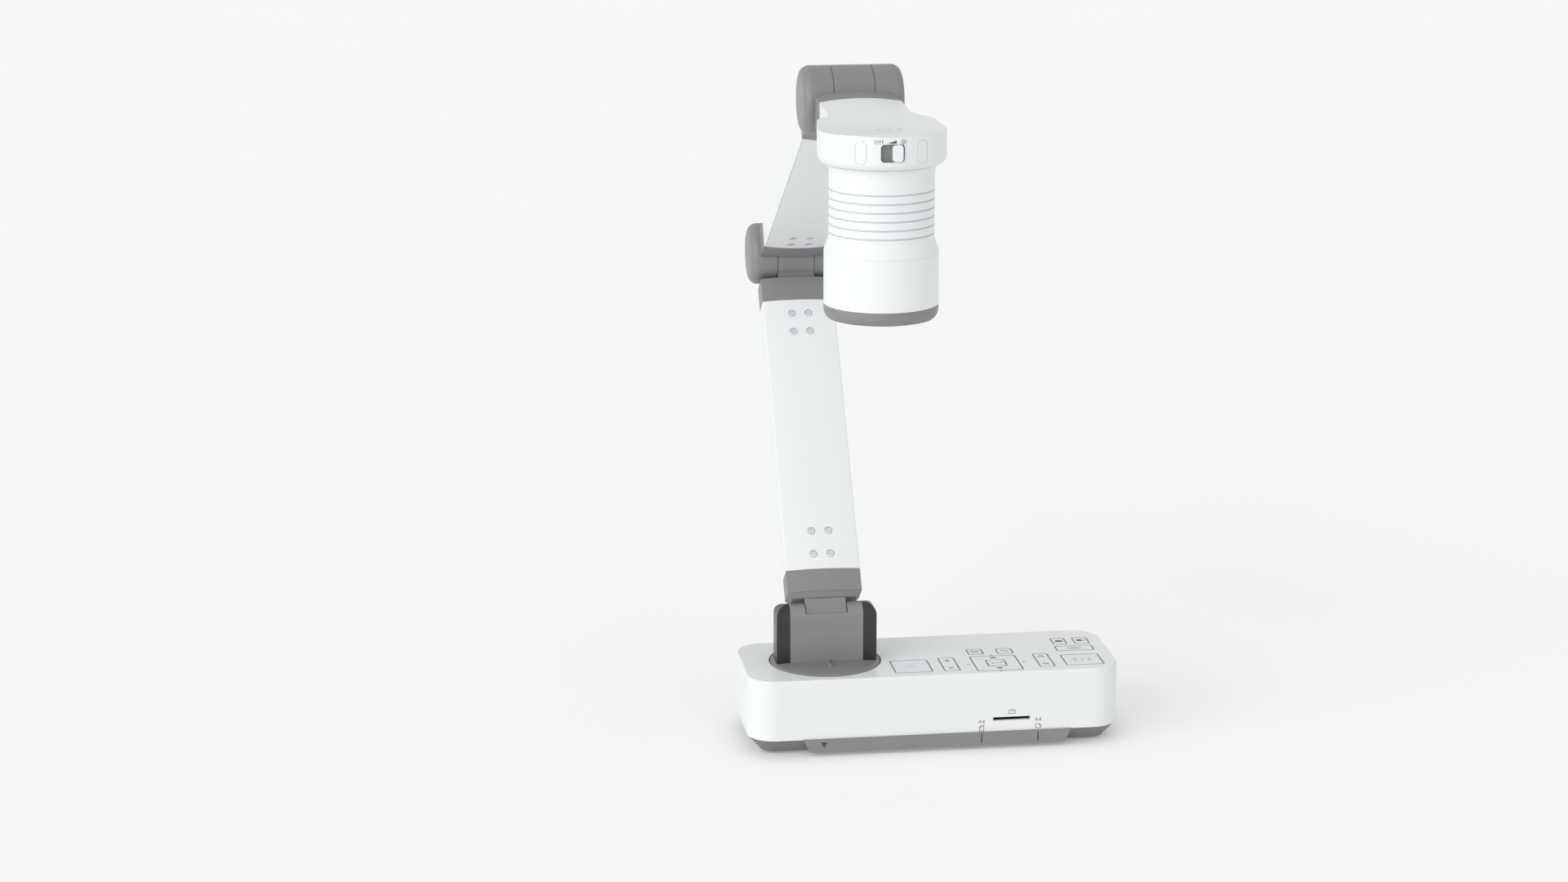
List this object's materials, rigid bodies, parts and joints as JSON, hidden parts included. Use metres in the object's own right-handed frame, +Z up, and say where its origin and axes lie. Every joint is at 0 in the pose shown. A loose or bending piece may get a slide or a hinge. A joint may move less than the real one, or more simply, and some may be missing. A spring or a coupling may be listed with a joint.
{
  "type": "document camera",
  "caption": "Desktop document camera: a long low base with touch keys, a swivelling two-section folding arm and a round camera head that looks down at the table.",
  "frame": {"origin": "centre of the base on the plane its feet stand on", "axes": "+X to the right along the base, -Y towards the reader and the camera head, +Z up"},
  "size_m": [0.26, 0.4476, 0.4833],
  "materials": {
    "white_plastic": "satin",
    "grey_plastic": "satin",
    "charcoal_plastic": "glossy",
    "key_plastic": "satin",
    "black_plastic": "matt",
    "rubber": "matt",
    "steel": "plain",
    "screw_steel": "blacked",
    "socket_steel": "nickel plated",
    "zinc_steel": "zinc plated",
    "board": "lacquered circuit board",
    "lamp_light": "clear",
    "indicator": "clear",
    "window_glass": "polished",
    "lens": "coated",
    "tube_metal": "matt black"
  },
  "bodies": {
    "base": {"bottom_tray": "grey_plastic", "top_case": "white_plastic", "paper_guide": "grey_plastic", "rubber_feet": "rubber", "base_screws": "screw_steel", "ballast_plate": "steel", "main_board": "board", "keypad_board": "board", "hdmi_sockets": "socket_steel", "usb_sockets": "socket_steel", "audio_sockets": "black_plastic", "power_inlet": "black_plastic", "card_socket": "black_plastic", "status_lamp": "indicator", "swivel_bearing": "black_plastic"},
    "turret": {"turntable": "grey_plastic", "hinge_post": "grey_plastic", "post_side_covers": "charcoal_plastic", "shoulder_shaft": "steel", "swivel_nut": "steel"},
    "lower_arm": {"lower_arm_foot": "grey_plastic", "lower_arm_front_cover": "white_plastic", "lower_arm_rear_cover": "white_plastic", "lower_arm_channel": "steel", "lower_arm_knuckle": "grey_plastic", "lower_arm_screws": "zinc_steel"},
    "upper_arm": {"upper_arm_elbow_fork": "grey_plastic", "upper_arm_under_cover": "white_plastic", "upper_arm_top_cover": "white_plastic", "upper_arm_channel": "steel", "upper_arm_wrist_fork": "grey_plastic", "upper_arm_screws": "zinc_steel", "joint_caps": "grey_plastic", "joint_shafts": "steel"},
    "head": {"head_knuckle": "grey_plastic", "head_top_cover": "white_plastic", "head_lower_cover": "white_plastic", "switch_bezel": "grey_plastic"},
    "lamp_slider": {"lamp_switch": "white_plastic"},
    "camera_barrel": {"barrel_grip": "white_plastic", "barrel_sleeve": "white_plastic", "lens_ring": "grey_plastic", "front_window": "window_glass", "lens_tube": "tube_metal", "lens_glass": "lens", "lamp_board": "lamp_light", "sensor_board": "board"},
    "nav_rocker_plate": {"nav_plate": "black_plastic"},
    "nav_rocker": {"nav_pad": "key_plastic"},
    "enter_key": {"enter_button": "key_plastic"},
    "power_key": {"power_button": "key_plastic"},
    "menu_key": {"menu_button": "key_plastic"},
    "return_key": {"return_button": "key_plastic"},
    "capture_key": {"capture_button": "key_plastic"},
    "record_key": {"record_button": "key_plastic"},
    "preset_key": {"preset_button": "key_plastic"},
    "focus_key": {"focus_button": "key_plastic"},
    "brightness_key": {"brightness_rocker": "key_plastic"},
    "zoom_key": {"zoom_rocker": "key_plastic"}
  },
  "joints": [
    {"name": "base_swivel", "type": "hinge", "parent": "base", "child": "turret", "pos_m": [-0.0716, 0, 0.0554], "axis": [0, 0, 1], "range_deg": [-90, 90]},
    {"name": "shoulder", "type": "hinge", "parent": "turret", "child": "lower_arm", "pos_m": [-0.0716, 0, 0.0881], "axis": [1, 0, 0], "range_deg": [-54, 36]},
    {"name": "elbow", "type": "hinge", "parent": "lower_arm", "child": "upper_arm", "pos_m": [-0.0716, 0.16337, 0.31328], "axis": [-1, 0, 0], "range_deg": [-30, 90]},
    {"name": "wrist", "type": "hinge", "parent": "upper_arm", "child": "head", "pos_m": [-0.0716, -0.09876, 0.46134], "axis": [-1, 0, 0], "range_deg": [-60, 90]},
    {"name": "camera_turn", "type": "hinge", "parent": "head", "child": "camera_barrel", "pos_m": [-0.0716, -0.22196, 0.4], "axis": [0, 0, 1], "range_deg": [-90, 90]},
    {"name": "lamp_slide", "type": "slide", "parent": "head", "child": "lamp_slider", "axis": [1, 0, 0], "range_m": [-0.0068, 0]},
    {"name": "power_press", "type": "slide", "parent": "base", "child": "power_key", "axis": [0, 0, -1], "range_m": [0, 0.0006], "stiffness_N_per_m": 1200, "springref_m": -0.0004},
    {"name": "menu_press", "type": "slide", "parent": "base", "child": "menu_key", "axis": [0, 0, -1], "range_m": [0, 0.0006], "stiffness_N_per_m": 1200, "springref_m": -0.0004},
    {"name": "return_press", "type": "slide", "parent": "base", "child": "return_key", "axis": [0, 0, -1], "range_m": [0, 0.0006], "stiffness_N_per_m": 1200, "springref_m": -0.0004},
    {"name": "capture_press", "type": "slide", "parent": "base", "child": "capture_key", "axis": [0, 0, -1], "range_m": [0, 0.0006], "stiffness_N_per_m": 1200, "springref_m": -0.0004},
    {"name": "record_press", "type": "slide", "parent": "base", "child": "record_key", "axis": [0, 0, -1], "range_m": [0, 0.0006], "stiffness_N_per_m": 1200, "springref_m": -0.0004},
    {"name": "preset_press", "type": "slide", "parent": "base", "child": "preset_key", "axis": [0, 0, -1], "range_m": [0, 0.0006], "stiffness_N_per_m": 1200, "springref_m": -0.0004},
    {"name": "focus_press", "type": "slide", "parent": "base", "child": "focus_key", "axis": [0, 0, -1], "range_m": [0, 0.0006], "stiffness_N_per_m": 1200, "springref_m": -0.0004},
    {"name": "brightness_rocker_tilt", "type": "hinge", "parent": "base", "child": "brightness_key", "pos_m": [0.0123, -0.022, 0.0525], "axis": [1, 0, 0], "range_deg": [-2.5, 2.5], "stiffness_Nm_per_rad": 0.2},
    {"name": "zoom_rocker_tilt", "type": "hinge", "parent": "base", "child": "zoom_key", "pos_m": [0.0794, -0.0218, 0.0525], "axis": [1, 0, 0], "range_deg": [-2.5, 2.5], "stiffness_Nm_per_rad": 0.2},
    {"name": "nav_rocker_plate_tilt", "type": "hinge", "parent": "base", "child": "nav_rocker_plate", "pos_m": [0.0454, -0.0239, 0.0525], "axis": [1, 0, 0], "range_deg": [-1.8, 1.8], "stiffness_Nm_per_rad": 0.2},
    {"name": "nav_rocker_tilt", "type": "hinge", "parent": "nav_rocker_plate", "child": "nav_rocker", "pos_m": [0.0454, -0.0239, 0.0525], "axis": [0, 1, 0], "range_deg": [-1.8, 1.8], "stiffness_Nm_per_rad": 0.2},
    {"name": "enter_press", "type": "slide", "parent": "base", "child": "enter_key", "axis": [0, 0, -1], "range_m": [0, 0.0006], "stiffness_N_per_m": 1200, "springref_m": -0.0004}
  ]
}
